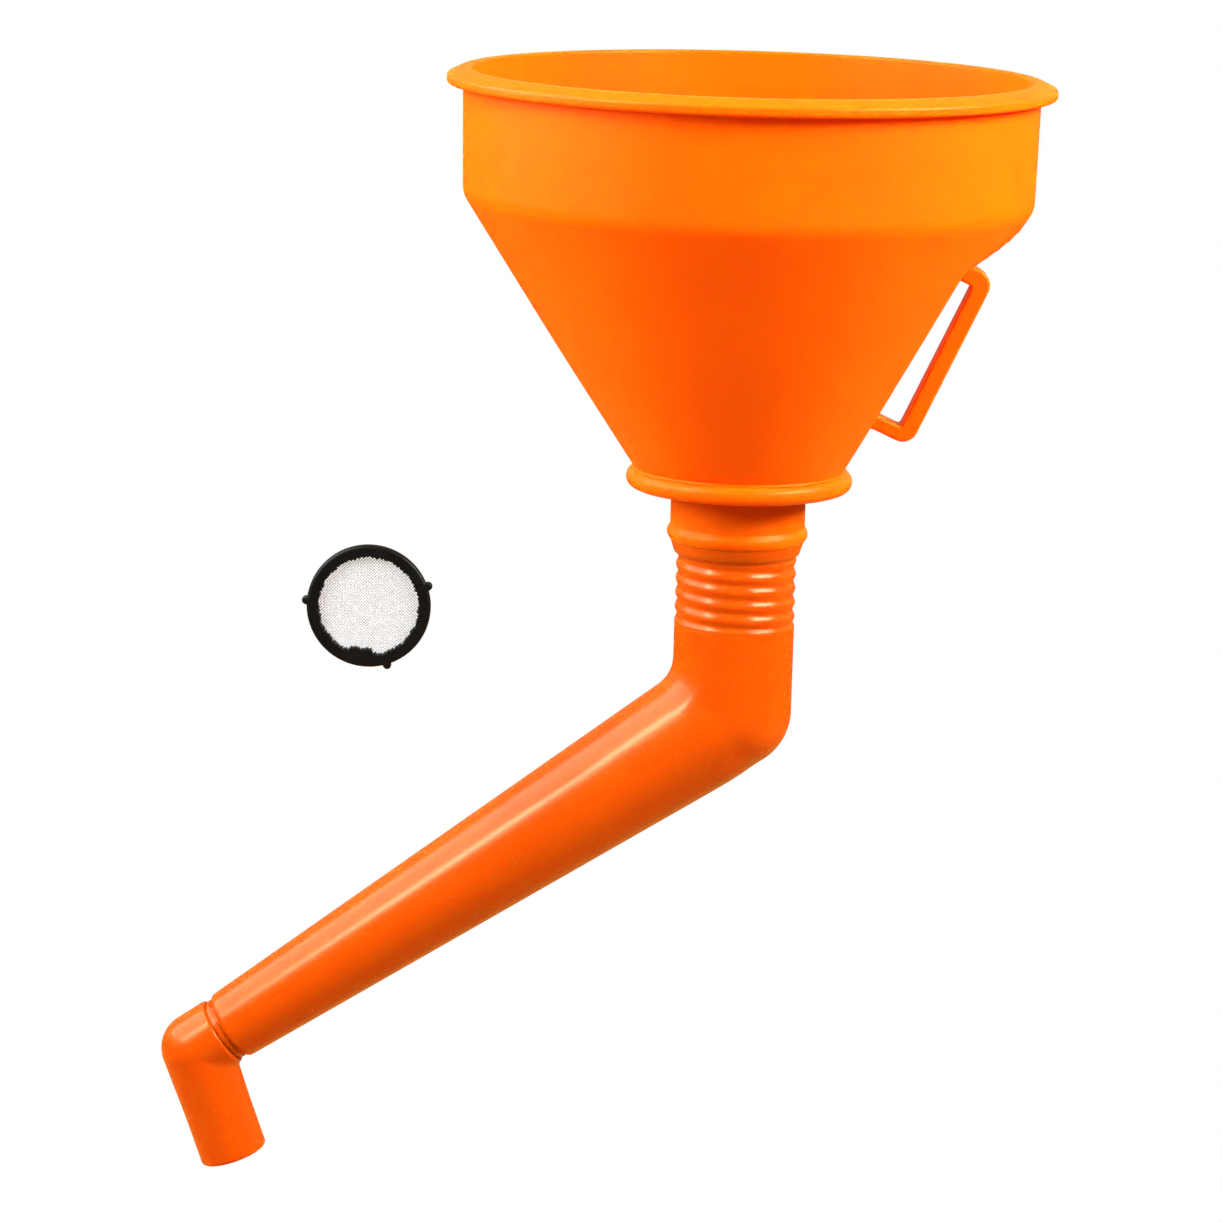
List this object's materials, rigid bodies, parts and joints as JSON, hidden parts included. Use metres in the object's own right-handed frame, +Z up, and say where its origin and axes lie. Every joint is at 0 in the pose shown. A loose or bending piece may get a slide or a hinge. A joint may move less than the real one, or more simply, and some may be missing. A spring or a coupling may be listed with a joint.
{
  "type": "funnel",
  "caption": "Wide plastic funnel with a strap handle, a ribbed swivelling angled spout, a push-fit angled nozzle and a loose round strainer.",
  "frame": {"origin": "on the bowl's axis, in the plane of the collar's flat underside, where a stand ring or a can's neck carries the funnel", "axes": "+Z up the bowl's axis; +X towards the handle; the spout leans towards -X; -Y is the side that the strainer faces"},
  "size_m": [0.233, 0.16, 0.303],
  "materials": {
    "orange_plastic": "satin polyethylene, a little translucent",
    "black_plastic": "satin moulded plastic",
    "mesh_wire": "fine plain-woven stainless wire"
  },
  "bodies": {
    "funnel": {"funnel_bowl": "orange_plastic", "handle": "orange_plastic"},
    "strainer": {"strainer_ring": "black_plastic", "strainer_mesh": "mesh_wire"},
    "plug": {"spout_plug": "orange_plastic"},
    "upper_spout": {"spout_shoulder": "orange_plastic", "spout_bellows": "orange_plastic"},
    "spout": {"spout_tube": "orange_plastic"},
    "nozzle": {"nozzle": "orange_plastic"}
  },
  "joints": [
    {"name": "strainer_lift", "type": "slide", "parent": "funnel", "child": "strainer", "axis": [0, 0, 1], "range_m": [0, 0.09]},
    {"name": "spout_pull_off", "type": "slide", "parent": "funnel", "child": "plug", "axis": [0, 0, -1], "range_m": [0, 0.03]},
    {"name": "spout_swivel", "type": "hinge", "parent": "plug", "child": "upper_spout", "pos_m": [0, 0, -0.0143], "axis": [0, 0, 1], "continuous": true},
    {"name": "spout_flex", "type": "hinge", "parent": "upper_spout", "child": "spout", "pos_m": [0, 0, -0.0262], "axis": [0, 1, 0], "range_deg": [-12, 12], "stiffness_Nm_per_rad": 0.8, "springref_deg": 1.15, "deforming": ["spout_bellows"]},
    {"name": "nozzle_swivel", "type": "hinge", "parent": "spout", "child": "nozzle", "pos_m": [-0.14338, 0, -0.15988], "axis": [-0.8221, 0, -0.5693], "continuous": true}
  ]
}
